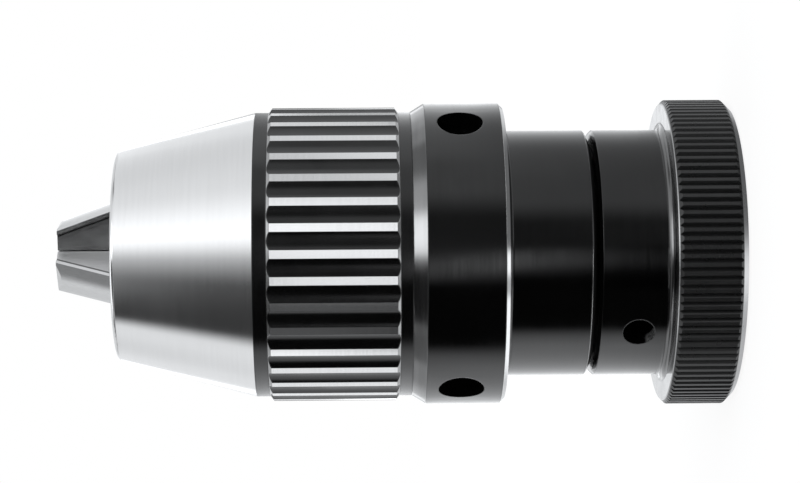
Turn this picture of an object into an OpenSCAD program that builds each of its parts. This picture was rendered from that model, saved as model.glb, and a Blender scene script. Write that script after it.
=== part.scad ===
// Keyless precision drill chuck with a hand-turned sleeve, drawn closed.
// All sizes are in millimetres. The axis is +Z: rear face at z = 0, jaws at the top.
// Angles around the axis are measured from +X towards +Y.

/* [Rear ring] */
// wall of the rear ring, from its seat to the top of the ridges
ring_wall = 3.75; // [1.5:0.05:5]
// length of the rear ring along the axis
ring_len = 11.1; // [8:0.1:14]
// bevel on the rear edge of the ring
ring_rear_bevel = 1.35; // [0.4:0.05:2.2]
// bevel on the front edge of the ring
ring_front_bevel = 0.7; // [0.2:0.1:1.5]
// number of straight ridges around the ring
ridge_n = 114; // [80:1:150]
// depth of the grooves between the ridges
ridge_depth = 0.5; // [0.2:0.05:0.9]
// width of the flat on top of a ridge
ridge_flat = 0.55; // [0.3:0.05:0.8]

/* [Body] */
// length of the body from the ring to the running gap
rear_len = 11.95; // [9:0.05:16]
// radius of the concave flare between the barrel and the ring
flare_r = 1.2; // [0.8:0.05:3]
// bevel on the front edge of the body's barrel
barrel_bevel = 0.5; // [0.2:0.05:0.9]
// wall of the body's neck around the spindle's shank, inside the thrust bearing
neck_wall = 6.68; // [4:0.02:8]
// step from the neck up to the journal that the sleeve turns on
journal_step = 2; // [1.2:0.1:3]
// diameter of the radial hole that holds the body still with a pin
hold_hole_d = 5.1; // [3:0.1:6.5]
// depth of that hole
hold_hole_depth = 6; // [3:0.1:7]
// distance of that hole from the front of the ring
hold_hole_at = 5.4; // [4:0.1:8]
// angle of that hole around the axis
hold_hole_turn = -129.5; // [-180:0.5:180]

/* [Taper socket] */
// diameter of the taper at the rear face
taper_d = 17.17; // [14:0.01:22]
// diameter of the taper at its inner end
taper_small_d = 15.85; // [12:0.01:20]
// length of the taper
taper_len = 25.4; // [18:0.1:31]
// bevel round the mouth of the taper
mouth_bevel = 0.5; // [0.2:0.1:1.5]
// length of the relief behind the taper
taper_relief = 1.8; // [1:0.1:3]
// solid web between the taper and the spindle's thread
web = 3.6; // [2:0.1:6]

/* [Drive spindle] */
// outside diameter of the left-hand drive screw
screw_d = 12; // [9:0.1:15]
// pitch of the drive screw, per turn of the sleeve
screw_pitch = 3; // [2:0.1:4]
// diameter of the shank that is screwed into the body
shank_d = 14; // [10:0.1:17]
// thickness of the spindle's thrust flange
flange_t = 2.5; // [1.8:0.1:4]
// diameter of the pin that locks the spindle in the body
lock_pin_d = 3; // [2:0.1:4]

/* [Thrust bearing] */
// diameter of a ball
ball_d = 4; // [3:0.1:5]
// number of balls
ball_n = 18; // [10:1:20]
// thickness of a race
race_t = 1.4; // [1.2:0.1:2.5]
// depth of the ball track in a race
track_depth = 0.5; // [0.2:0.05:0.7]
// rim of a race on each side of its balls
race_rim = 0.4; // [0.3:0.05:1]
// thickness of the ball cage
cage_t = 1.3; // [0.8:0.1:2]
// thickness of the washer that sets the end play
shim_t = 0.5; // [0.3:0.1:1]

/* [Sleeve] */
// running gap between body and sleeve
run_slot = 0.95; // [0.4:0.05:1.5]
// length of the sleeve's plain tail
tail_len = 13.55; // [10:0.05:18]
// length of the collar, with its bevels
collar_len = 15.2; // [12:0.1:20]
// radius of the fillet between the tail and the collar
collar_root = 0.75; // [0.2:0.05:1.5]
// height of the collar above the plain bands
collar_h = 1.38; // [0.6:0.01:2.5]
// bevel on the rear edge of the collar
collar_bevel = 0.65; // [0.3:0.05:1.5]
// length of the cone at the front of the collar
collar_cone = 2.2; // [1:0.1:3.5]
// wall between the collar's rear face and the bearing
lip_t = 2.3; // [1.6:0.1:4]
// diameter of the three pin spanner holes
spanner_d = 7.4; // [5:0.1:9]
// depth of the spanner holes
spanner_depth = 3.4; // [2:0.1:4]
// distance of the spanner holes from the collar's rear face
spanner_at = 7.35; // [6:0.05:10]
// angle of the first spanner hole around the axis
spanner_turn = -31.85; // [-180:0.05:180]
// wall of the bearing housing inside the collar
housing_wall = 1.4; // [1:0.1:3]
// gap between the rear sleeve's spigot and the ring nut
spigot_gap = 0.2; // [0.1:0.1:1]
// wall of the bronze bush
bush_wall = 1.3; // [0.8:0.1:2]
// height of the bush's flange above the bush
bush_lip = 0.9; // [0.5:0.1:2]
// gap between the bush's flange and the body's shoulder
thrust_gap = 0.25; // [0.15:0.05:0.5]
// thickness of the rubber ring in the running gap
seal_d = 1.3; // [1:0.05:1.8]
// play of the rubber ring along the axis
seal_play = 0.45; // [0.2:0.05:0.8]
// rim of the sleeve's tail around the rubber ring
tail_rim = 0.8; // [0.5:0.1:1.5]

/* [Grip] */
// length of the plain band behind the flutes
rear_band = 2; // [1.5:0.1:4]
// length of the fluted part
grip_len = 21.3; // [17:0.1:26]
// length of the plain band ahead of the flutes
front_band = 2.25; // [1.5:0.05:4]
// height of the bright lands above the plain bands
land_h = 0.77; // [0.4:0.01:1]
// length of the slope at each end of the lands
land_bevel = 0.55; // [0.3:0.05:1]
// number of flutes
flute_n = 36; // [24:1:44]
// width of a flute
flute_w = 2.9; // [1.8:0.05:3.4]
// depth of a flute
flute_depth = 0.68; // [0.3:0.02:0.9]
// wall of the grip under the bands
grip_wall = 1.83; // [1.4:0.01:3]

/* [Nose] */
// length of the bright nose cone
nose_len = 22.9; // [20:0.1:30]
// slope of the nose cone against the axis
nose_slope = 15; // [8:0.5:20]
// rounding of the front edge of the nose
nose_round = 0.9; // [0.3:0.1:2]
// length of the nose's spigot inside the grip
nose_spigot = 6.5; // [4:0.1:8]

/* [Jaws] */
// slope of the jaws and of the cone they run on, against the axis
jaw_slope = 20; // [16:0.5:24]
// width of a jaw
jaw_w = 6.3; // [5:0.1:8]
// distance that the closed jaws stand out of the nose
jaw_out = 9.8; // [6:0.1:14]
// distance of the jaws' outer line from the axis at their tip
jaw_tip_r = 5.63; // [4.5:0.01:8]
// radius of a jaw's rounded back
jaw_back_r = 8; // [5:0.1:9]
// distance from the axis to the gripping flats when closed
grip_r = 0.35; // [0.25:0.05:0.8]
// gap between the flanks of closed jaws
flank_gap = 0.2; // [0.1:0.05:0.4]
// bevel on the outer edge of a jaw's tip
tip_bevel = 0.5; // [0.2:0.1:1]
// height of the rim along both sides of a jaw's back
jaw_rim = 0.6; // [0.4:0.05:1.2]
// depth of the step under that rim, on each flank
jaw_step = 0.65; // [0.4:0.05:0.9]
// radius of the fillet in that step
step_round = 0.45; // [0.2:0.05:0.6]
// angle of the first jaw around the axis
jaw_turn = -13.2; // [-180:0.1:180]

/* [Jaw carrier] */
// travel of the carrier along the axis from closed to open
feed_travel = 18; // [12:0.5:22]
// thickness of the carrier
carrier_t = 10; // [8:0.1:13]
// radial length of a jaw's tail
tail_run = 4.6; // [3.5:0.1:6]
// height of a jaw's tail head
tail_head = 3.2; // [2:0.1:4]
// height of the neck between a jaw and its tail head
tail_neck = 2.8; // [2:0.1:3.5]
// width of the neck
neck_w = 3.6; // [2.5:0.1:4.5]
// wall between the screw's thread and the jaws' tail slots
slot_wall = 1.4; // [1:0.1:3]

/* [Jaw guide] */
// wall of the guide's rear ring
guide_wall = 2.55; // [2:0.05:4]
// wall of the guide's neck inside the nose
guide_neck = 1; // [0.8:0.05:1.6]
// length of the guide's rear ring
guide_ring = 9; // [6:0.1:12]
// thickness of the ring nut behind the guide
lock_ring_t = 1.9; // [1.2:0.1:2.4]
// web between the jaw carrier and the nose's cone
guide_web = 2; // [1.4:0.1:3]

/* [Fits] */
// gap of pressed and screwed seats
seat_gap = 0.02; // [0.01:0.01:0.05]
// radial gap of running fits
run_gap = 0.05; // [0.03:0.01:0.1]
// gap on each side of sliding faces
slide_gap = 0.1; // [0.06:0.01:0.2]
// gap around moving pieces that don't touch
free_gap = 0.3; // [0.2:0.05:0.6]

/* [Hidden] */
$fn = 96;
tan_j = tan(jaw_slope);
cos_j = cos(jaw_slope);

// places along the axis, from the rear
z_ring = ring_len;
z_shoulder = z_ring + rear_len;
z_tail = z_shoulder + run_slot;
z_collar = z_tail + tail_len;
z_band = z_collar + collar_len;
z_land = z_band + rear_band;
z_land_end = z_land + grip_len;
z_base = z_land_end + front_band;
z_nose = z_base + nose_len;
z_tip = z_nose + jaw_out;
z_lip = z_collar + lip_t;
z_track = z_lip + race_t;
z_balls = z_track - track_depth + ball_d / 2 + run_gap;
z_front_race = 2 * z_balls - z_track;
z_shim = z_front_race + race_t;
z_flange = z_shim + shim_t;
z_screw = z_flange + flange_t;
z_open = z_screw + free_gap;
z_carrier = z_open + feed_travel;
z_front = z_carrier + carrier_t;
z_finger = z_front + free_gap;
z_shank = taper_len + taper_relief + web;
z_screw_end = z_front - carrier_t / 3;
z_head = z_front - tail_neck - tail_head;
z_hood = z_base - nose_spigot;
z_guide = z_hood - guide_ring;
z_lock = z_guide - lock_ring_t;
z_spigot = z_lock - spigot_gap;
z_recess = z_shoulder + seal_d + seal_play;
z_bush = z_shoulder + thrust_gap;

// radii of the body and of the thrust bearing, from the shank outwards
neck_r = shank_d / 2 + seat_gap + neck_wall;
journal_r = neck_r + journal_step;
bush_r = journal_r + run_gap + bush_wall;
bush_lip_r = bush_r + bush_lip;
recess_r = bush_lip_r + free_gap + seal_d;
barrel_r = recess_r + tail_rim;
seat_r = barrel_r + flare_r;
ring_r = seat_r + ring_wall;
race_in = journal_r - 0.5;
race_out = race_in + ball_d + 2 * race_rim;
track_r = (race_in + race_out) / 2;
track_ball = ball_d / 2 + run_gap;
flange_r = race_out - 0.6;

// radii of the jaws and of the sleeve, from the screw outwards
screw_r = screw_d / 2;
jaw_shift = feed_travel * tan_j;
tail_in = screw_r + slide_gap + slot_wall + slide_gap;
tail_out = tail_in + tail_run;
jaw_top = tail_out + slide_gap;
carrier_r = jaw_top + jaw_shift;
guide_bore = carrier_r + free_gap;
cavity_r = max(race_out + seat_gap + 0.2, guide_bore);
guide_r = max(guide_bore + guide_wall, cavity_r + housing_wall);
grip_bore = guide_r + seat_gap;
band_r = grip_bore + grip_wall;
land_r = band_r + land_h;
collar_r = band_r + collar_h;
guide_neck_r = guide_bore + guide_neck;
nose_r = band_r - nose_len * tan(nose_slope);
guide_bore_front = screw_r + 1;

// the cone that the jaws' backs run along, and the nose's bore just outside it
function back_r(z) = jaw_tip_r + (z_tip - z) * tan_j;
function bore_r(z) = back_r(z) + slide_gap / cos_j;
z_relief = z_screw_end + (screw_r + free_gap) / tan_j;
function relief_r(z) = screw_r + free_gap - (z - z_screw_end) * tan_j;

chuck_body();
knurled_ring();
drive_spindle();
spindle_pin();
front_race();
preload_shim();
thrust_balls();
ball_cage();
rear_race();
rear_sleeve();
journal_bush();
dust_seal();
grip_sleeve();
guide_lock_ring();
jaw_guide();
nose_hood();
jaw_carrier();
jaw_1();
jaw_2();
jaw_3();

// a plain ring between two radii and two heights
module ring(r_in, r_out, z0, z1) {
  rotate_extrude()
    translate([r_in, z0])
      square([r_out - r_in, z1 - z0]);
}

// one-piece body: taper socket, barrel, journal and the seat of the spindle
module chuck_body() {
  color([0.09, 0.09, 0.1])
  difference() {
    rotate_extrude() difference() {
      polygon([
        [0, 0], [seat_r, 0], [seat_r, z_ring + flare_r], [barrel_r, z_ring + flare_r],
        [barrel_r, z_shoulder - barrel_bevel], [barrel_r - barrel_bevel, z_shoulder],
        [journal_r, z_shoulder], [journal_r, z_lip - 0.6], [neck_r, z_lip - 0.6],
        [neck_r, z_flange], [0, z_flange]
      ]);
      translate([seat_r, z_ring + flare_r])
        circle(r = flare_r);
    }
    translate([0, 0, -0.01])
      cylinder(h = taper_len + 0.01, d1 = taper_d, d2 = taper_small_d);
    translate([0, 0, -0.01])
      cylinder(h = mouth_bevel + 0.01, r1 = taper_d / 2 + mouth_bevel + 0.01, r2 = taper_d / 2);
    cylinder(h = taper_len + taper_relief, d = taper_small_d - 0.6);
    translate([0, 0, z_shank - 0.3])
      cylinder(h = z_flange - z_shank + 1, d = shank_d + 2 * seat_gap);
    spindle_pin_bore(seat_gap);
    rotate([0, 0, hold_hole_turn])
      translate([barrel_r - hold_hole_depth, 0, z_ring + hold_hole_at])
        rotate([0, 90, 0])
          cylinder(h = hold_hole_depth + 1, d = hold_hole_d);
  }
}

// knurled ring pressed over the rear of the body
module knurled_ring() {
  half_flat = ridge_flat / ring_r * 90 / PI;
  color([0.08, 0.08, 0.09])
  difference() {
    intersection() {
      linear_extrude(ring_len)
        polygon([
          for (i = [0:ridge_n - 1], k = [0:2])
            let (a = 360 / ridge_n * i + (k == 0 ? -half_flat : k == 1 ? half_flat : 180 / ridge_n))
            let (r = k == 2 ? ring_r - ridge_depth : ring_r)
            [r * cos(a), r * sin(a)]
        ]);
      rotate_extrude()
        polygon([
          [0, 0], [ring_r - ring_rear_bevel, 0], [ring_r + 0.01, ring_rear_bevel + 0.01],
          [ring_r + 0.01, z_ring - ring_front_bevel - 0.01], [ring_r - ring_front_bevel, z_ring], [0, z_ring]
        ]);
    }
    translate([0, 0, -1])
      cylinder(h = ring_len + 2, r = seat_r + seat_gap);
  }
}

// spindle: shank in the body, thrust flange and left-hand drive screw
module drive_spindle() {
  thread_h = 0.3 * screw_pitch;
  color([0.55, 0.56, 0.58])
  difference() {
    rotate_extrude()
      polygon([
        [0, z_shank], [shank_d / 2 - 0.8, z_shank], [shank_d / 2, z_shank + 0.8], [shank_d / 2, z_flange],
        [flange_r, z_flange], [flange_r, z_screw - 0.5], [flange_r - 0.5, z_screw],
        [screw_r - thread_h, z_screw], [screw_r - thread_h, z_screw + 0.4 * screw_pitch],
        [screw_r, z_screw + 0.4 * screw_pitch + thread_h],
        [screw_r, z_screw_end - 1], [screw_r - 1, z_screw_end], [0, z_screw_end]
      ]);
    spindle_pin_bore(seat_gap);
  }
}

// cross bore for the pin that locks the spindle in the body
module spindle_pin_bore(gap) {
  translate([shank_d / 2 - 4 - gap, 0, z_balls])
    rotate([0, 90, 0])
      cylinder(h = neck_r - shank_d / 2 + 5, d = lock_pin_d + 2 * gap);
}

// dowel pin through the body's neck into the spindle
module spindle_pin() {
  color([0.6, 0.6, 0.62])
  translate([shank_d / 2 - 4, 0, z_balls])
    rotate([0, 90, 0])
      cylinder(h = neck_r - shank_d / 2 + 3.7, d = lock_pin_d);
}

// hardened race with a ball track on one face
module race(r_in, z0, z1, track_z) {
  rotate_extrude() difference() {
    translate([r_in, z0])
      square([race_out - r_in, z1 - z0]);
    translate([track_r, track_z])
      circle(r = track_ball);
  }
}

// race on the spindle's flange
module front_race() {
  color([0.66, 0.67, 0.69])
  race(neck_r + free_gap, z_front_race, z_shim, z_balls);
}

// washer between the front race and the flange
module preload_shim() {
  color([0.72, 0.7, 0.62])
  ring(neck_r + free_gap, flange_r, z_shim, z_flange);
}

// balls of the thrust bearing
module thrust_balls() {
  color([0.8, 0.8, 0.82])
  for (i = [0:ball_n - 1])
    rotate([0, 0, 360 / ball_n * i])
      translate([track_r, 0, z_balls])
        sphere(d = ball_d);
}

// brass cage that keeps the balls apart
module ball_cage() {
  color([0.75, 0.6, 0.28])
  difference() {
    ring(race_in + slide_gap, race_out - slide_gap, z_balls - cage_t / 2, z_balls + cage_t / 2);
    for (i = [0:ball_n - 1])
      rotate([0, 0, 360 / ball_n * i])
        translate([track_r, 0, z_balls - cage_t])
          cylinder(h = 2 * cage_t, r = ball_d / 2 + slide_gap);
  }
}

// race on the lip of the rear sleeve
module rear_race() {
  color([0.66, 0.67, 0.69])
  race(race_in, z_lip, z_track, z_balls);
}

// black rear sleeve: plain tail, spanner collar, bearing housing and spigot
module rear_sleeve() {
  color([0.07, 0.07, 0.08])
  difference() {
    rotate_extrude() difference() {
      polygon([
        [bush_r + seat_gap, z_recess], [recess_r, z_recess], [recess_r, z_tail],
        [barrel_r - 0.25, z_tail], [barrel_r, z_tail + 0.25], [barrel_r, z_collar - collar_root],
        [barrel_r + collar_root, z_collar - collar_root], [barrel_r + collar_root, z_collar],
        [collar_r - collar_bevel, z_collar], [collar_r, z_collar + collar_bevel],
        [collar_r, z_band - collar_cone], [band_r, z_band], [guide_r, z_band],
        [guide_r, z_spigot], [cavity_r, z_spigot], [cavity_r, z_lip],
        [bush_r + seat_gap, z_lip]
      ]);
      translate([barrel_r + collar_root, z_collar - collar_root])
        circle(r = collar_root);
    }
    for (i = [0:2])
      rotate([0, 0, spanner_turn + 120 * i])
        translate([collar_r - spanner_depth, 0, z_collar + spanner_at])
          rotate([0, 90, 0])
            cylinder(h = spanner_depth + 1, d = spanner_d);
  }
}

// bronze bush between the body's journal and the sleeve
module journal_bush() {
  color([0.7, 0.5, 0.25])
  rotate_extrude()
    polygon([
      [journal_r + run_gap, z_bush], [bush_lip_r, z_bush], [bush_lip_r, z_recess], [bush_r, z_recess],
      [bush_r, z_lip - 0.2], [journal_r + run_gap, z_lip - 0.2]
    ]);
}

// rubber ring that keeps dirt out of the running gap
module dust_seal() {
  color([0.05, 0.05, 0.05])
  rotate_extrude()
    translate([recess_r - slide_gap - seal_d / 2, z_recess - run_gap - seal_d / 2])
      circle(d = seal_d, $fn = 32);
}

// black grip with bright lands between concave flutes
module grip_sleeve() {
  chord = land_r - sqrt(land_r * land_r - flute_w * flute_w / 4);
  drop = flute_depth - chord;
  cutter = (flute_w * flute_w / 4 + drop * drop) / (2 * drop);
  color([0.1, 0.1, 0.11])
  difference() {
    rotate_extrude()
      polygon([
        [grip_bore, z_band], [band_r, z_band], [band_r, z_land], [land_r, z_land + land_bevel],
        [land_r, z_land_end - land_bevel], [band_r, z_land_end], [band_r, z_base], [grip_bore, z_base]
      ]);
    for (i = [0:flute_n - 1])
      rotate([0, 0, 360 / flute_n * (i + 0.5)])
        translate([land_r - flute_depth + cutter, 0, z_land - 0.3])
          cylinder(h = grip_len + 0.6, r = cutter, $fn = 32);
  }
}

// ring nut that clamps the jaw guide against the nose
module guide_lock_ring() {
  color([0.5, 0.51, 0.53])
  difference() {
    ring(guide_bore, guide_r, z_lock, z_guide);
    for (i = [0:3])
      rotate([0, 0, 90 * i + 45])
        translate([guide_bore - 1, -1.5, z_lock - 1])
          cube([2.2, 3, 1 + lock_ring_t / 2]);
  }
}

// outer shape of the jaw guide before its slots are cut
module jaw_guide_blank() {
  z_cone = z_finger + free_gap;
  z_end = z_nose - 0.8;
  slack = seat_gap + run_gap;
  rotate_extrude()
    polygon([
      [guide_bore, z_guide], [guide_r, z_guide], [guide_r, z_hood], [guide_neck_r, z_hood],
      [guide_neck_r, z_cone], [bore_r(z_cone) - slack, z_cone], [bore_r(z_end) - slack, z_end],
      [guide_bore_front, z_end], [guide_bore_front, z_finger], [bore_r(z_finger) - guide_web, z_finger],
      [guide_bore, z_finger - (guide_bore - bore_r(z_finger) + guide_web) / tan_j]
    ]);
}

// crown-shaped guide: three fingers with ribs that hold the jaws against the cone
module jaw_guide() {
  half = jaw_w / 2 + slide_gap;
  rib_in = half - jaw_step;
  rib_top = -rim_drop() - slide_gap;
  color([0.45, 0.46, 0.48])
  difference() {
    jaw_guide_blank();
    for (i = [0:2])
      rotate([0, 0, jaw_turn + 120 * i])
        difference() {
          translate([0, -half, z_guide - 1])
            cube([guide_bore, 2 * half, z_tip - z_guide]);
          along_back()
            translate([0, 0, -z_tip])
              linear_extrude(2 * z_tip)
                for (s = [-1, 1])
                  polygon([
                    [-z_tip, s * rib_in], [rib_top - step_round, s * rib_in],
                    [rib_top, s * (rib_in + step_round)], [rib_top, s * (half + 1)],
                    [-z_tip, s * (half + 1)]
                  ]);
        }
  }
}

// frame on the back line of a jaw: x outwards from the back, z along the slide
module along_back() {
  translate([jaw_tip_r, 0, z_tip])
    rotate([0, -jaw_slope, 0])
      children();
}

// depth of the step in a jaw's flanks under the top of its rounded back
function rim_drop() = jaw_rim + jaw_back_r - sqrt(jaw_back_r * jaw_back_r - jaw_w * jaw_w / 4);

// bright nose with the conical bore that closes the jaws
module nose_hood() {
  z_cone = z_finger + free_gap + seat_gap;
  a = nose_slope;
  r = nose_round;
  cr = nose_r - r / cos(a) + r * tan(a);
  color([0.78, 0.79, 0.8])
  rotate_extrude() {
    difference() {
      polygon([
        [guide_neck_r + seat_gap, z_hood], [guide_r, z_hood], [guide_r, z_base], [band_r, z_base],
        [nose_r, z_nose], [bore_r(z_nose - 0.3) + 0.25, z_nose], [bore_r(z_nose - 0.3), z_nose - 0.3],
        [bore_r(z_cone), z_cone], [guide_neck_r + seat_gap, z_cone]
      ]);
      difference() {
        polygon([
          [cr, z_nose + 1], [cr + 3 * r, z_nose + 1], [cr + 3 * r, z_nose - r + r * sin(a)],
          [cr + r * cos(a), z_nose - r + r * sin(a)], [cr, z_nose - r]
        ]);
        translate([cr, z_nose - r])
          circle(r = r);
      }
    }
  }
}

// nut on the drive screw, with a T-slot for the tail of each jaw
module jaw_carrier() {
  front_r = bore_r(z_finger) - guide_web - free_gap;
  head_w = jaw_w + 2 * slide_gap;
  color([0.5, 0.51, 0.54])
  difference() {
    rotate_extrude() intersection() {
      polygon([
        [screw_r + slide_gap, z_carrier], [carrier_r - 0.6, z_carrier], [carrier_r, z_carrier + 0.6],
        [carrier_r, z_front], [screw_r + slide_gap, z_front]
      ]);
      polygon([
        [0, z_front], [front_r, z_front], [front_r + 2 * carrier_t * tan_j, z_front - 2 * carrier_t],
        [0, z_front - 2 * carrier_t]
      ]);
    }
    for (i = [0:2])
      rotate([0, 0, jaw_turn + 120 * i])
        translate([tail_in - slide_gap, 0, 0]) {
          translate([0, -head_w / 2, z_head - slide_gap])
            cube([carrier_r, head_w, tail_head + 2 * slide_gap]);
          translate([0, -neck_w / 2 - slide_gap, z_head])
            cube([carrier_r, neck_w + 2 * slide_gap, tail_head + tail_neck + 1]);
        }
  }
}

// section of a jaw across its slide: rounded back with a rim, over a narrower web
module jaw_section() {
  web_w = jaw_w / 2 - jaw_step;
  difference() {
    intersection() {
      translate([-jaw_back_r, 0])
        circle(r = jaw_back_r);
      translate([-2 * jaw_back_r, -jaw_w / 2])
        square([2 * jaw_back_r, jaw_w]);
    }
    for (s = [-1, 1]) {
      translate([-2 * jaw_back_r, s > 0 ? web_w : -web_w - 2])
        square([2 * jaw_back_r - rim_drop() - step_round, 2]);
      translate([-2 * jaw_back_r, s > 0 ? web_w + step_round : -web_w - step_round - 2])
        square([2 * jaw_back_r - rim_drop(), 2]);
      translate([-rim_drop() - step_round, s * (web_w + step_round)])
        circle(r = step_round);
    }
  }
}

// one jaw in closed position, towards +X
module jaw() {
  z_seat = z_front + slide_gap;
  lean = flank_gap / 2 / sin(60);
  union() {
    intersection() {
      rotate([90, 0, 0])
        linear_extrude(jaw_w + 2, center = true)
          polygon([
            [0, z_tip], [jaw_tip_r - tip_bevel, z_tip], [jaw_tip_r + tip_bevel, z_tip - 2 * tip_bevel],
            [jaw_top, z_tip - 2 * tip_bevel], [jaw_top, z_seat], [relief_r(z_seat), z_seat], [0, z_relief]
          ]);
      along_back()
        translate([0, 0, -z_tip])
          linear_extrude(2 * z_tip)
            jaw_section();
      translate([0, 0, z_head - 1])
        linear_extrude(z_tip - z_head + 2)
          polygon([
            [grip_r, -(grip_r - lean) * tan(60)], [30, -(30 - lean) * tan(60)],
            [30, (30 - lean) * tan(60)], [grip_r, (grip_r - lean) * tan(60)]
          ]);
    }
    translate([tail_in, -neck_w / 2, z_head + tail_head / 2])
      cube([tail_run, neck_w, z_seat - z_head]);
    translate([tail_in, -jaw_w / 2, z_head])
      cube([tail_run, jaw_w, tail_head]);
  }
}

module jaw_1() {
  color([0.7, 0.71, 0.72])
  rotate([0, 0, jaw_turn])
    jaw();
}

module jaw_2() {
  color([0.7, 0.71, 0.72])
  rotate([0, 0, jaw_turn + 120])
    jaw();
}

module jaw_3() {
  color([0.7, 0.71, 0.72])
  rotate([0, 0, jaw_turn + 240])
    jaw();
}
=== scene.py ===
import math

import bmesh
import bpy
from mathutils import Matrix, Vector


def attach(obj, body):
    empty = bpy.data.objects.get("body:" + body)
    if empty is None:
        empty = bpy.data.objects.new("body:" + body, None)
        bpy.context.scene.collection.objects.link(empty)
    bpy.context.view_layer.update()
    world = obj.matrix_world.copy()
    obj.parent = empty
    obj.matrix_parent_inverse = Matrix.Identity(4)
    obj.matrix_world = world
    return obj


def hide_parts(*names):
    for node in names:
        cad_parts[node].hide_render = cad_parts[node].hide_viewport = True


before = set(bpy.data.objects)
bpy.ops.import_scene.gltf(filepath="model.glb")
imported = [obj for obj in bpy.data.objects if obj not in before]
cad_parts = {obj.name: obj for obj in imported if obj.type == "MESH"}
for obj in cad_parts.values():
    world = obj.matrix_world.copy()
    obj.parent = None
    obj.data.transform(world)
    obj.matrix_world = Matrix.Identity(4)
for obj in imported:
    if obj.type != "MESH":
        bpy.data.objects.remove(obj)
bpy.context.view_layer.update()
scene = bpy.context.scene

# The picture of the keyless drill chuck: a finish for every piece, a spindle with a cut screw in place of the
# plain one, a floor, a studio that the chuck reflects, and the photograph's camera.

# Lengths are in mm: heights from the chuck's rear face, radii from its axis. Angles are in degrees.
MM = 0.001
JAW_TURN = -13.2
JAW_SLOPE = 20.0
JAW_TIP_R = 5.63
JAW_TIP_Z = 111.0
JAW_WEB_HALF = 3.05

# Faces with a finish of their own: least and greatest radius, least and greatest height, of their middles.
SPANNER_HOLES = (15.0, 24.75, 41.0, 48.8)
HOLD_HOLE = (14.0, 20.2, 13.8, 19.2)
TAPER_SOCKET = (0.0, 9.0, 0.3, 28.0)
GRIP_LANDS = (24.29, 24.5, 55.0, 76.0)
BUSH_LIP = (15.0, 18.5, 23.0, 24.85)

# Bevels rubbed bright: least and greatest height, and how bright the steel is.
COLLAR_REAR_WORN = (37.5, 38.25, 0.65)
COLLAR_CONE_WORN = (50.6, 52.7, 0.23)
TAIL_WORN = (24.0, 24.22, 0.5)
FLARE_WORN = (11.15, 12.2, 0.12)

# Bevels that lean along the axis: least and greatest height, least and greatest slope, and by how much.
COLLAR_REAR_LEAN = (37.4, 38.3, -0.9, -0.4, 0.45)
BARREL_FRONT_LEAN = (22.5, 23.1, 0.3, 1.0, 0.9)

# The painted shade on each jaw, along the web under its back where shade falls in the corner: how deep its
# darker band goes, how satin its flanks are, and how strong a broader, fainter painted shade is.
JAW_PAINTED_SHADE_AND_SATIN = ((1.75, 0.0, 0.3), (1.9, 0.06, 0.15), (2.14, 0.2, 0.0))

# The drive screw: its flights start after the undercut, rise over the run-in, and are cut by the end's bevel.
# A flight's height is flat minus flank times the distance from its middle in turns, kept from 0 to 1.
SCREW_ROOT = 5.1
SCREW_CREST = 6.0
SCREW_PITCH = 3.0
SCREW_START = 49.4
SCREW_END = 73.694
SCREW_UNDERCUT = 0.5
SCREW_RUN_IN = 2.0
SCREW_BEVEL = 1.0
SCREW_FLAT = 1.65
SCREW_FLANK = 5.2
SCREW_ROWS = 120
SCREW_SHARP = 35

# The floor, in metres, and just under the chuck so that their faces don't share a plane.
FLOOR_R = 1.6
FLOOR_Z = -0.0001
FLOOR_SIDES = 64

# The photograph's camera: focal length in mm, places in metres, roll in radians.
CAMERA_LENS = 109.7
CAMERA_PLACE = (0.0, -0.4063, 0.0633)
CAMERA_LOOKS_AT = (0.00203, 0.0, 0.05443)
CAMERA_ROLL = 0.0071


class Nodes:
    """A node tree with short names for the few steps that the finishes and the world are made of."""

    def __init__(self, tree):
        self.tree = tree

    def add(self, kind, links=(), **settings):
        """A new node with these settings, and with values or sockets on its inputs."""
        node = self.tree.nodes.new("ShaderNode" + kind)
        for key, value in settings.items():
            setattr(node, key, value)
        for key, value in dict(links).items():
            self.put(node.inputs[key], value)
        return node

    def put(self, socket, value):
        if isinstance(value, bpy.types.NodeSocket):
            self.tree.links.new(value, socket)
        else:
            socket.default_value = value

    def calc(self, operation, a, b=0.0, c=0.0):
        return self.add("Math", {0: a, 1: b, 2: c}, operation=operation).outputs[0]

    def times(self, *factors):
        product = factors[0]
        for factor in factors[1:]:
            product = self.calc("MULTIPLY", product, factor)
        return product

    def lift(self, level, part, amount):
        """Add a part of amount to level."""
        return self.calc("MULTIPLY_ADD", part, amount, level)

    def arrows(self, operation, *inputs):
        """Vector maths, with a number for a length or a dot product and a vector for the rest."""
        node = self.add("VectorMath", dict(enumerate(inputs)), operation=operation)
        return node.outputs["Value" if operation in ("LENGTH", "DOT_PRODUCT") else "Vector"]

    def pushed(self, normal, push):
        """The normal turned towards push."""
        return self.arrows("NORMALIZE", self.arrows("ADD", normal, push))

    def step(self, value, low, high, to_low=0.0, to_high=1.0):
        """Smooth step from to_low to to_high while value goes from low to high."""
        links = {"Value": value, "From Min": low, "From Max": high, "To Min": to_low, "To Max": to_high}
        return self.add("MapRange", links, interpolation_type="SMOOTHSTEP").outputs["Result"]

    def band(self, value, low, high, soft):
        """1 between low and high, fading to 0 over soft."""
        return self.times(self.step(value, low - soft, low), self.step(value, high, high + soft, 1.0, 0.0))

    def vector(self, x, y, z):
        return self.add("CombineXYZ", {"X": x, "Y": y, "Z": z}).outputs[0]

    def noise(self, vector, scale, detail=2.0, rough=0.5):
        links = {"Vector": vector, "Scale": scale, "Detail": detail, "Roughness": rough}
        return self.add("TexNoise", links).outputs["Fac"]

    def blend(self, factor, a, b):
        """A number between a and b."""
        return self.add("Mix", {"Factor": factor, 2: a, 3: b}).outputs[0]

    def mix(self, factor, a, b):
        """A colour between a and b."""
        return self.add("Mix", {"Factor": factor, 6: a, 7: b}, data_type="RGBA").outputs[2]


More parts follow.
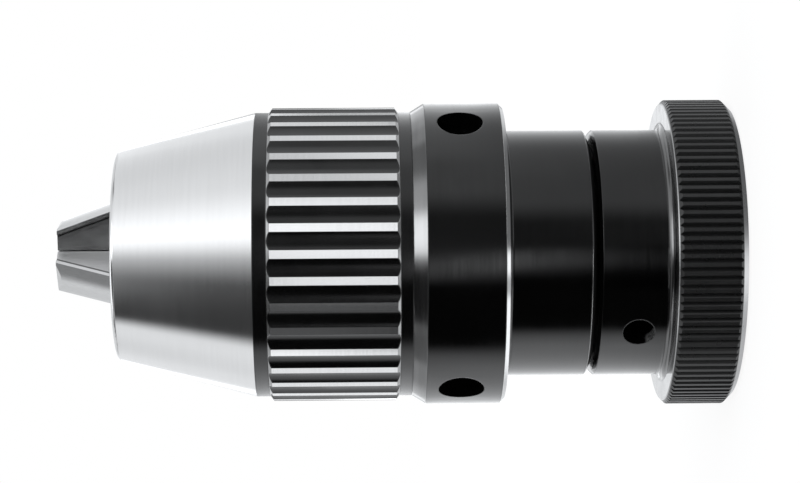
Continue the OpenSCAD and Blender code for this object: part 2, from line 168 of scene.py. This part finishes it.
class Finish(Nodes):
    """A Principled material that knows where it is on the chuck: radius, height and slope along the axis."""

    def __init__(self, name, **sockets):
        self.material = bpy.data.materials.new(name)
        self.material.use_nodes = True
        super().__init__(self.material.node_tree)
        self.shader = self.tree.nodes["Principled BSDF"]
        self.edge = None
        self.set(**sockets)
        self.place = self.add("TexCoord").outputs["Object"]
        split = self.add("SeparateXYZ", {0: self.place})
        self.z = self.calc("DIVIDE", split.outputs["Z"], MM)
        flat = self.vector(split.outputs["X"], split.outputs["Y"], 0.0)
        self.r = self.calc("DIVIDE", self.arrows("LENGTH", flat), MM)
        self.around = self.arrows("NORMALIZE", flat)
        self.normal = self.add("NewGeometry").outputs["Normal"]
        self.slope = self.add("SeparateXYZ", {0: self.normal}).outputs["Z"]

    def set(self, **sockets):
        """Values or sockets for the shader's inputs, with _ for the spaces in their names."""
        for key, value in sockets.items():
            self.put(self.shader.inputs[key.replace("_", " ")], value)

    def turned(self, pitch):
        """Tool marks round the axis, spaced by pitch in mm, on cylinders, cones and flat faces alike."""
        streak, lean = 1.6, 0.83
        side = self.calc("ADD", self.calc("MULTIPLY", self.r, lean), self.z)
        spin = self.add("SeparateXYZ", {0: self.around})
        x = self.calc("MULTIPLY", spin.outputs["X"], streak)
        y = self.calc("MULTIPLY", spin.outputs["Y"], streak)
        return self.noise(self.vector(x, y, self.calc("DIVIDE", side, pitch)), 1.0, 3.0, 0.6)

    def blotches(self, size):
        """Stains about size mm across."""
        return self.noise(self.place, 1.0 / (size * MM), 3.0)

    def rounded(self, radius):
        """Let the edges shine as if they were rounded, with a radius in mm."""
        self.edge = self.add("Bevel", {"Radius": radius * MM}, samples=6).outputs[0]

    def raise_edge(self, tilt):
        """Tilt the rounded edges along the axis."""
        self.edge = self.pushed(self.edge, self.vector(0.0, 0.0, tilt))

    def flatten(self, share):
        """Turn the rounded normals part of the way outwards from the axis."""
        out = self.add("VectorTransform", {0: self.around}, vector_type="NORMAL", convert_from="OBJECT",
                       convert_to="WORLD").outputs[0]
        out = self.add("VectorMath", {0: out, "Scale": share}, operation="SCALE").outputs[0]
        self.edge = self.pushed(self.edge, out)

    def bump(self, height, depth):
        """Relief of depth mm, on the rounded edges where there are any."""
        links = {"Height": height, "Distance": depth * MM, "Strength": 1.0}
        if self.edge:
            links["Normal"] = self.edge
        self.set(Normal=self.add("Bump", links).outputs["Normal"])

    def lean(self, tilt):
        """Tilt the surface along the axis."""
        self.set(Normal=self.pushed(self.normal, self.vector(0.0, 0.0, tilt)))

    def worn(self, black, bright, least):
        """Black, with bare steel where bright is over 0; least is the darkest that bare steel gets."""
        bare = self.step(bright, 0.0, 0.03)
        shade = self.calc("ADD", bright, least)
        self.set(Base_Color=self.mix(bare, black, self.vector(shade, shade, shade)), Metallic=bare)

    def on(self, *names):
        for name in names:
            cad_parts[name].data.materials.clear()
            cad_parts[name].data.materials.append(self.material)

    def on_faces(self, name, r_low, r_high, z_low, z_high):
        """Only on the faces of a node whose middle is between these radii and heights, in mm."""
        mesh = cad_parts[name].data
        mesh.materials.append(self.material)
        for face in mesh.polygons:
            r = math.hypot(face.center.x, face.center.y) / MM
            if r_low < r < r_high and z_low < face.center.z / MM < z_high:
                face.material_index = len(mesh.materials) - 1


def grey(value, warm=0.0):
    """A grey, or a brassy one with some warm."""
    return (value * (1 + warm), value, value * (1 - warm), 1.0)


def ground_steel(name, low, high, rough, spread, lean=0.0):
    """Bright steel ground round the axis, its marks from low to high in shade; spread stretches its
    reflections along the axis, and lean tilts it."""
    f = Finish(name, Metallic=1.0, Anisotropic=spread, Anisotropic_Rotation=0.25)
    marks = f.turned(0.35)
    stain = f.blotches(9.0)
    f.set(Base_Color=f.mix(f.step(marks, 0.25, 0.75), grey(low), grey(high)))
    dull = f.step(stain, 0.35, 0.7, 0.0, 0.015)
    f.set(Roughness=f.calc("ADD", f.step(marks, 0.2, 0.8, rough - 0.008, rough + 0.008), dull))
    f.set(Tangent=f.add("Tangent", direction_type="RADIAL", axis="Z").outputs[0])
    if lean:
        f.lean(f.step(marks, 0.2, 0.8, lean - 0.003, lean + 0.003))
    else:
        f.bump(marks, 0.00005)
    return f


def black_steel(name, leaning, *rubbed):
    """Blackened and polished steel, with one bevel that leans and some that are rubbed bright."""
    f = Finish(name, IOR=1.62)
    f.rounded(0.25)
    z_low, z_high, slope_low, slope_high, tilt = leaning
    bevel = f.times(f.band(f.slope, slope_low, slope_high, 0.1), f.band(f.z, z_low, z_high, 0.05))
    f.raise_edge(f.times(bevel, tilt))
    marks = f.turned(0.5)
    stain = f.blotches(7.0)
    bright = 0.0
    for z_low, z_high, shade in rubbed:
        bright = f.calc("MAXIMUM", f.times(f.band(f.z, z_low, z_high, 0.03), shade), bright)
    bevels = f.band(f.calc("ABSOLUTE", f.slope), 0.38, 0.85, 0.2)
    bright = f.times(bright, bevels, f.step(marks, 0.2, 0.7, 0.8, 1.0))
    f.worn(f.mix(stain, grey(0.0003), grey(0.0009)), bright, 0.05)
    dull = f.step(stain, 0.4, 0.7, 0.0, 0.03)
    f.set(Roughness=f.calc("ADD", f.step(marks, 0.2, 0.8, 0.11, 0.15), dull))
    f.bump(marks, 0.0006)
    return f


def hole_shade_and_glint(glint=0.0):
    """The walls and floors of the drilled holes: black and a little rough from the drill, and with a low IOR
    so that they reflect less than the black steel around them, a painted shade for the inside of a hole.
    Glint is a painted glint: grey metal near the mouth of the body's hole, on the side towards the knurled
    ring, where light catches the wall."""
    # painted shade: the low IOR keeps the holes darker than the steel around them
    f = Finish("hole_shade_and_glint", IOR=1.25)
    marks = f.blotches(1.5)
    # painted glint: grey metal on one side of the hole's mouth stands in for light caught by the wall
    bare = f.times(f.step(f.z, 15.4, 14.6), f.step(f.r, 18.3, 19.3, 0.0, glint))
    black = f.mix(marks, grey(0.0006), grey(0.002))
    f.set(Base_Color=f.mix(bare, black, grey(0.5)), Metallic=bare)
    f.set(Roughness=f.step(marks, 0.3, 0.7, 0.2, 0.3))
    f.bump(marks, 0.003)
    return f


def grip_steel():
    """Blackened flutes and bands, with the slopes at the ends of the lands ground bright."""
    f = Finish("grip_steel", IOR=1.62)
    f.rounded(0.3)
    marks = f.turned(0.4)
    stain = f.blotches(5.0)
    slopes = f.step(f.calc("ABSOLUTE", f.slope), 0.5, 0.6)
    ends = f.times(f.band(f.z, 54.8, 76.0, 0.02), f.step(f.r, 23.58, 23.62))
    bright = f.times(slopes, ends)
    f.raise_edge(f.times(bright, f.slope, -0.6))
    f.flatten(0.8)
    black = f.mix(stain, grey(0.0012), grey(0.003))
    f.set(Base_Color=f.mix(bright, black, grey(0.38)), Metallic=bright)
    black_rough = f.step(stain, 0.3, 0.7, 0.15, 0.2)
    f.set(Roughness=f.blend(bright, black_rough, f.step(marks, 0.2, 0.8, 0.2, 0.3)))
    f.bump(marks, 0.0008)
    return f


def knurl_steel():
    """Blackened ridges, rubbed on their crests, with bright bevels on both sides and a smooth front face."""
    f = Finish("knurl_steel", IOR=1.5)
    marks = f.turned(0.3)
    stain = f.blotches(3.0)
    rear = f.times(f.step(f.slope, -0.4, -0.6), f.step(f.slope, -0.95, -0.85))
    rear = f.times(rear, f.step(f.r, 24.85, 24.75, 0.0, 0.5))
    front = f.times(f.step(f.slope, 0.4, 0.6), f.step(f.slope, 0.95, 0.85))
    front = f.times(front, f.band(f.r, 24.3, 24.72, 0.05), 0.4)
    crests = f.times(f.step(f.r, 25.05, 25.28), f.step(stain, 0.4, 0.7, 0.7, 1.0))
    f.worn(f.mix(crests, grey(0.012), grey(0.018)), f.calc("MAXIMUM", rear, front), 0.04)
    face = f.times(f.step(f.slope, 0.95, 0.98), f.step(f.r, 24.7, 24.6))
    f.set(Roughness=f.lift(f.step(stain, 0.3, 0.7, 0.27, 0.31), face, -0.18))
    f.bump(marks, 0.0001)
    return f


def plain_steel(name, shade, rough, pitch, warm=0.0):
    """Bare turned metal, for the parts inside."""
    f = Finish(name, Metallic=1.0)
    marks = f.turned(pitch)
    stain = f.blotches(4.0)
    f.set(Base_Color=f.mix(f.step(marks, 0.25, 0.75), grey(shade * 0.88, warm), grey(shade, warm)))
    dull = f.step(stain, 0.4, 0.7, 0.0, 0.06)
    f.set(Roughness=f.calc("ADD", f.step(marks, 0.2, 0.8, rough - 0.05, rough + 0.05), dull))
    f.bump(marks, 0.003)
    return f


def seal_rubber():
    """Matt black rubber with a fine grain."""
    f = Finish("seal_rubber", IOR=1.5, Specular_IOR_Level=0.15)
    grain = f.noise(f.place, 4000.0)
    f.set(Base_Color=f.mix(grain, grey(0.001), grey(0.003)), Roughness=f.step(grain, 0.3, 0.7, 0.55, 0.75))
    f.bump(grain, 0.01)
    return f


def jaw_steel(number, shade_depth, satin, broad_shade):
    """A ground jaw, with painted shade along the web under its back, where shade falls in the corner below
    the back: a darker band down to a depth of shade_depth mm, and a wider, fainter painted shade as strong as
    broad_shade. Satin makes its flanks rougher."""
    f = Finish("jaw_steel_%d" % number, Metallic=1.0)
    marks = f.noise(f.add("Mapping", {0: f.place, 3: (1.0, 1.0, 0.12)}).outputs[0], 3500.0, 3.0)
    stain = f.blotches(4.0)
    turn = math.radians(JAW_TURN + 120 * (number - 1))
    slope = math.radians(JAW_SLOPE)
    inwards = (-math.cos(slope) * math.cos(turn), -math.cos(slope) * math.sin(turn), -math.sin(slope))
    back = (JAW_TIP_R + JAW_TIP_Z * math.tan(slope)) * math.cos(slope)
    depth = f.calc("ADD", f.calc("DIVIDE", f.arrows("DOT_PRODUCT", f.place, inwards), MM), back)
    across = (-math.sin(turn), math.cos(turn), 0.0)
    side = f.calc("DIVIDE", f.calc("ABSOLUTE", f.arrows("DOT_PRODUCT", f.place, across)), MM)
    web = f.step(side, JAW_WEB_HALF + 0.05, JAW_WEB_HALF - 0.05)
    # painted shade: a broad faint band and a darker band along the web under the back darken the steel's
    # colour, where shade falls in the corner
    wide = f.times(f.step(depth, 1.2, 1.4), f.step(depth, 3.2, 2.0), broad_shade)
    painted_shade = f.times(web, f.calc("MAXIMUM", wide, f.times(f.band(depth, 1.35, shade_depth, 0.08), 0.75)))
    steel = f.mix(f.step(marks, 0.3, 0.7), grey(0.63), grey(0.68))
    f.set(Base_Color=f.mix(painted_shade, steel, grey(0.05)))
    flank = f.times(web, f.step(depth, 1.5, 1.7), satin)
    rough = f.calc("ADD", f.step(marks, 0.3, 0.7, 0.16, 0.18), f.step(stain, 0.4, 0.7, 0.0, 0.03))
    f.set(Roughness=f.calc("ADD", rough, flank))
    return f


def make_screw(finish):
    """The drive spindle with the flights of its left-hand screw, from the undercut to the bevelled end."""
    b = bmesh.new()
    b.from_mesh(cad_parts["drive_spindle"].data)
    bmesh.ops.remove_doubles(b, verts=b.verts[:], dist=0.001 * MM)
    cut = (0.0, 0.0, SCREW_START * MM)
    bmesh.ops.bisect_plane(b, geom=b.verts[:] + b.edges[:] + b.faces[:], plane_co=cut,
                           plane_no=(0.0, 0.0, 1.0), clear_outer=True)
    rim = {v for e in b.edges if e.is_boundary for v in e.verts}
    below = sorted(rim, key=lambda v: math.atan2(v.co.y, v.co.x))
    angles = [math.atan2(v.co.y, v.co.x) for v in below]
    for row in range(1, SCREW_ROWS + 1):
        z = SCREW_START + (SCREW_END - SCREW_START) * row / SCREW_ROWS
        run_in = min(1.0, max(0.0, (z - SCREW_START - SCREW_UNDERCUT) / SCREW_RUN_IN))
        bevel = SCREW_CREST - SCREW_BEVEL + SCREW_END - z
        above = []
        for angle in angles:
            phase = (z / SCREW_PITCH + angle / (2 * math.pi)) % 1.0
            flight = min(1.0, max(0.0, SCREW_FLAT - SCREW_FLANK * abs(phase - 0.5)))
            r = min(SCREW_ROOT + (SCREW_CREST - SCREW_ROOT) * flight * run_in, bevel)
            above.append(b.verts.new((r * MM * math.cos(angle), r * MM * math.sin(angle), z * MM)))
        for k in range(len(below)):
            b.faces.new((below[k - 1], below[k], above[k], above[k - 1]))
        below = above
    b.faces.new(below)
    for face in b.faces:
        face.smooth = True
    mesh = bpy.data.meshes.new("drive_screw")
    b.to_mesh(mesh)
    b.free()
    mesh.set_sharp_from_angle(angle=math.radians(SCREW_SHARP))
    mesh.materials.clear()
    mesh.materials.append(finish.material)
    screw = bpy.data.objects.new("drive_screw", mesh)
    scene.collection.objects.link(screw)
    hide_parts("drive_spindle")
    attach(screw, "body")


def make_floor():
    """A floor that is almost white where it is seen, takes a faint shadow, and is clear from below."""
    mesh = bpy.data.meshes.new("floor")
    angles = [side * 2 * math.pi / FLOOR_SIDES for side in range(FLOOR_SIDES)]
    ring = [(FLOOR_R * math.cos(a), FLOOR_R * math.sin(a), FLOOR_Z) for a in angles]
    mesh.from_pydata(ring, [], [range(FLOOR_SIDES)])
    floor = bpy.data.objects.new("floor", mesh)
    scene.collection.objects.link(floor)
    floor.visible_glossy = False
    material = bpy.data.materials.new("pale_floor")
    material.use_nodes = True
    n = Nodes(material.node_tree)
    n.tree.nodes.clear()
    path = n.add("LightPath")
    seen = n.calc("MAXIMUM", path.outputs["Is Camera Ray"], path.outputs["Is Transmission Ray"])
    own = n.add("BsdfDiffuse", {"Color": grey(0.8)})
    pale = n.add("BsdfDiffuse", {"Color": grey(0.16)})
    white = n.add("Emission", {"Color": grey(1.0), "Strength": 0.88})
    lit = n.add("AddShader", {0: pale.outputs[0], 1: white.outputs[0]})
    both = n.add("MixShader", {0: seen, 1: own.outputs[0], 2: lit.outputs[0]})
    under = n.times(n.add("NewGeometry").outputs["Backfacing"], path.outputs["Is Camera Ray"])
    clear = n.add("MixShader", {0: under, 1: both.outputs[0], 2: n.add("BsdfTransparent").outputs[0]})
    n.add("OutputMaterial", {"Surface": clear.outputs[0]})
    mesh.materials.append(material)


def make_world():
    """A white studio, dark below the camera and between its soft boxes, and white for the camera itself.

    A direction is told by z, how far it leans towards the jaws, and by turn, the degrees that it lies round
    the axis from the camera's side, positive towards the top of the picture. The faces of one piece reflect
    a narrow range of z, so that a light or a shade in that range shows on that piece."""
    world = bpy.data.worlds.new("studio")
    scene.world = world
    world.use_nodes = True
    n = Nodes(world.node_tree)
    n.tree.nodes.clear()
    way = n.add("SeparateXYZ", {0: n.add("TexCoord").outputs["Generated"]})
    x, y, z = (way.outputs[k] for k in "XYZ")
    aside = n.calc("ABSOLUTE", z)
    turn = n.calc("MULTIPLY", n.calc("ARCTAN2", x, n.calc("MULTIPLY", y, -1.0)), 180 / math.pi)
    swing = n.calc("ABSOLUTE", turn)

    def dim(level, part, share):
        """Take a part of share of level away."""
        return n.times(level, n.lift(1.0, part, -share))

    # the room: dark in front below the camera, with a harder edge for the cylinders than for the cones
    near = n.step(aside, 0.30, 0.16)
    far = n.step(aside, 0.2, 0.4)
    fall = n.blend(near, n.step(turn, 21.0, -30.0), n.step(turn, 8.0, -10.0))
    dark = n.times(n.step(turn, -88.0, -72.0), fall)
    deep = n.lift(n.lift(0.04, near, -0.025), n.band(z, 0.575, 0.75, 0.03), 0.28)
    level = n.add("MapRange", {"Value": dark, "To Min": 0.95, "To Max": deep}).outputs["Result"]

    # the nose: brighter above mid-height, and duller towards its top and bottom
    level = n.lift(level, n.times(n.step(turn, -6.0, 18.0), n.step(turn, 66.0, 18.0), far), 0.5)
    top = n.times(n.step(turn, 55.0, 110.0), 0.14)
    bottom = n.times(n.step(turn, -92.0, -120.0), 0.12)
    level = n.calc("SUBTRACT", level, n.times(far, n.calc("ADD", top, bottom)))

    # the cylinders: a gap between the soft boxes, and a shade on the upper half from the collar to the rear
    level = dim(level, n.times(n.band(turn, -2.0, 26.0, 24.0), near), 0.82)
    level = dim(level, n.times(n.band(z, -0.16, -0.065, 0.015), n.step(turn, -20.0, 0.0)), 0.42)

    # the flutes: shades on the upper ones and at the very top, and a light on the lowest
    level = dim(level, n.times(n.band(z, -0.02, 0.06, 0.015), n.band(turn, 20.0, 70.0, 14.0)), 0.55)
    level = dim(level, n.times(n.band(z, 0.04, 0.085, 0.015), n.step(turn, 100.0, 125.0)), 0.5)
    level = n.lift(level, n.times(n.band(z, -0.014, 0.022, 0.01), n.step(turn, -90.0, -120.0)), 1.1)

    # the lands, which lean towards the jaws
    lands = n.lift(1.16, n.step(turn, 30.0, 60.0), -0.65)
    lands = n.lift(lands, n.step(turn, 105.0, 120.0), 0.35)
    lands = n.lift(0.1, lands, n.step(turn, -39.0, -33.0))
    lands = n.lift(lands, n.step(turn, -76.0, -82.0), 1.2)
    lands = n.lift(lands, n.step(turn, -92.0, -105.0), -0.35)
    level = n.blend(n.band(z, 0.19, 0.275, 0.02), level, lands)

    # below mid-height: a shade on the body and the knurled ring, a slanted strip on the collar and its tail
    level = dim(level, n.times(n.step(z, -0.095, -0.105), n.band(turn, -30.0, 2.0, 8.0)), 0.92)
    slant = n.calc("ADD", turn, n.lift(22.3, z, 229.0))
    level = n.lift(level, n.times(n.band(slant, -3.0, 3.0, 9.0), n.band(z, -0.084, -0.035, 0.008)), 1.5)

    # the lower jaw and the collar's cone, the bottom from collar to body, the tops of the ring and the lands
    flank = n.times(n.band(z, 0.61, 0.75, 0.06), n.step(swing, 70.0, 90.0), n.step(y, 0.4, 0.3))
    level = dim(level, flank, 0.6)
    level = n.lift(level, n.times(n.band(z, -0.122, -0.035, 0.006), n.step(turn, -84.0, -98.0)), 0.4)
    level = dim(level, n.times(n.band(z, -0.17, -0.134, 0.006), n.step(turn, 40.0, 90.0)), 0.35)
    level = dim(level, n.times(n.band(z, 0.095, 0.16, 0.02), n.band(turn, 100.0, 130.0, 8.0)), 0.15)

    # the upper jaw, and the nose's front bevel
    cap = n.band(n.lift(z, turn, 0.0046), 0.93, 0.97, 0.04)
    level = n.lift(level, n.times(cap, n.step(turn, 90.0, 105.0)), 0.2)
    level = n.lift(level, n.times(n.step(z, 0.82, 0.9), n.step(turn, -85.0, -95.0)), 0.6)

    # the collar's cone, whose reflections lie on one curve: shades on its lower and its upper half
    cone = n.band(n.lift(y, n.times(z, z), 1.78), 0.95, 1.05, 0.05)
    lower = n.times(n.step(x, -0.1, -0.2), n.step(z, 0.3, 0.45), n.step(z, 0.63, 0.72, 0.45, 0.8))
    upper = n.times(n.step(x, 0.1, 0.2), n.band(z, 0.48, 0.6, 0.05), 0.4)
    level = n.times(level, n.calc("SUBTRACT", 1.0, n.times(cone, n.calc("ADD", lower, upper))))

    # the nose's outlines, the top outlines from the collar to the body, and a lamp on the collar's cone
    level = n.lift(level, n.times(n.band(z, 0.115, 0.17, 0.01), n.step(swing, 130.0, 150.0)), 0.72)
    level = n.lift(level, n.times(n.step(turn, 110.0, 160.0), n.band(z, -0.12, -0.01, 0.01)), 0.6)
    lamp = n.times(n.band(x, 0.04, 0.3, 0.14), n.step(z, 0.72, 0.84), n.step(y, 0.0, -0.2))
    level = n.lift(level, lamp, 1.6)

    # behind the chuck, for the bevels that face the rear
    rear = n.lift(0.18, n.step(x, 0.08, -0.03), 1.3)
    rear = n.lift(rear, n.band(x, -0.42, -0.3, 0.1), -0.9)
    level = n.blend(n.step(z, -0.35, -0.5), level, rear)

    cool = n.vector(n.times(level, 0.982), level, n.times(level, 1.022))
    studio = n.add("Background", {"Color": cool})
    white = n.add("Background", {"Color": grey(1.0)})
    camera = n.add("LightPath").outputs["Is Camera Ray"]
    both = n.add("MixShader", {0: camera, 1: studio.outputs[0], 2: white.outputs[0]})
    n.add("OutputWorld", {"Surface": both.outputs[0]})


def make_camera():
    """The photograph's view: from -Y, rolled so that the chuck lies with its jaws to the left."""
    lens = bpy.data.cameras.new("photo_camera")
    lens.sensor_width = 36.0
    lens.lens = CAMERA_LENS
    lens.clip_start = 0.01
    camera = bpy.data.objects.new("photo_camera", lens)
    scene.collection.objects.link(camera)
    place = Vector(CAMERA_PLACE)
    look = (Vector(CAMERA_LOOKS_AT) - place).normalized()
    up = Vector((math.cos(CAMERA_ROLL), 0.0, -math.sin(CAMERA_ROLL)))
    right = look.cross(up).normalized()
    turn = Matrix((right, right.cross(look), -look)).transposed()
    camera.matrix_world = Matrix.Translation(place) @ turn.to_4x4()
    scene.camera = camera


ground_steel("ground_steel", 0.745, 0.765, 0.14, 0.3).on("nose_hood")
black_steel("black_collar", COLLAR_REAR_LEAN, COLLAR_REAR_WORN, COLLAR_CONE_WORN, TAIL_WORN).on("rear_sleeve")
black_steel("black_body", BARREL_FRONT_LEAN, FLARE_WORN).on("chuck_body")
hole_shade_and_glint().on_faces("rear_sleeve", *SPANNER_HOLES)
hole_shade_and_glint(0.8).on_faces("chuck_body", *HOLD_HOLE)
plain_steel("socket_steel", 0.6, 0.25, 0.3).on_faces("chuck_body", *TAPER_SOCKET)
grip_steel().on("grip_sleeve")
ground_steel("land_steel", 0.76, 0.80, 0.13, 0.4, 0.122).on_faces("grip_sleeve", *GRIP_LANDS)
knurl_steel().on("knurled_ring")
# each jaw gets its own painted shade along its web, and its own satin
for number, painted_shade in enumerate(JAW_PAINTED_SHADE_AND_SATIN, 1):
    jaw_steel(number, *painted_shade).on("jaw_%d" % number)
inner_steel = plain_steel("inner_steel", 0.55, 0.32, 0.4)
inner_steel.on("drive_spindle", "jaw_carrier", "jaw_guide", "guide_lock_ring")
plain_steel("shim_steel", 0.62, 0.28, 0.3).on("preload_shim", "spindle_pin")
plain_steel("ball_steel", 0.72, 0.12, 0.3).on("front_race", "rear_race", "thrust_balls")
plain_steel("cage_brass", 0.55, 0.3, 0.4, 0.3).on("ball_cage")
plain_steel("bush_bronze", 0.5, 0.35, 0.4, 0.35).on("journal_bush")
rubber = seal_rubber()
rubber.on_faces("journal_bush", *BUSH_LIP)
rubber.on("dust_seal")

make_screw(inner_steel)
make_floor()
make_world()
make_camera()
scene.view_settings.view_transform = "Standard"
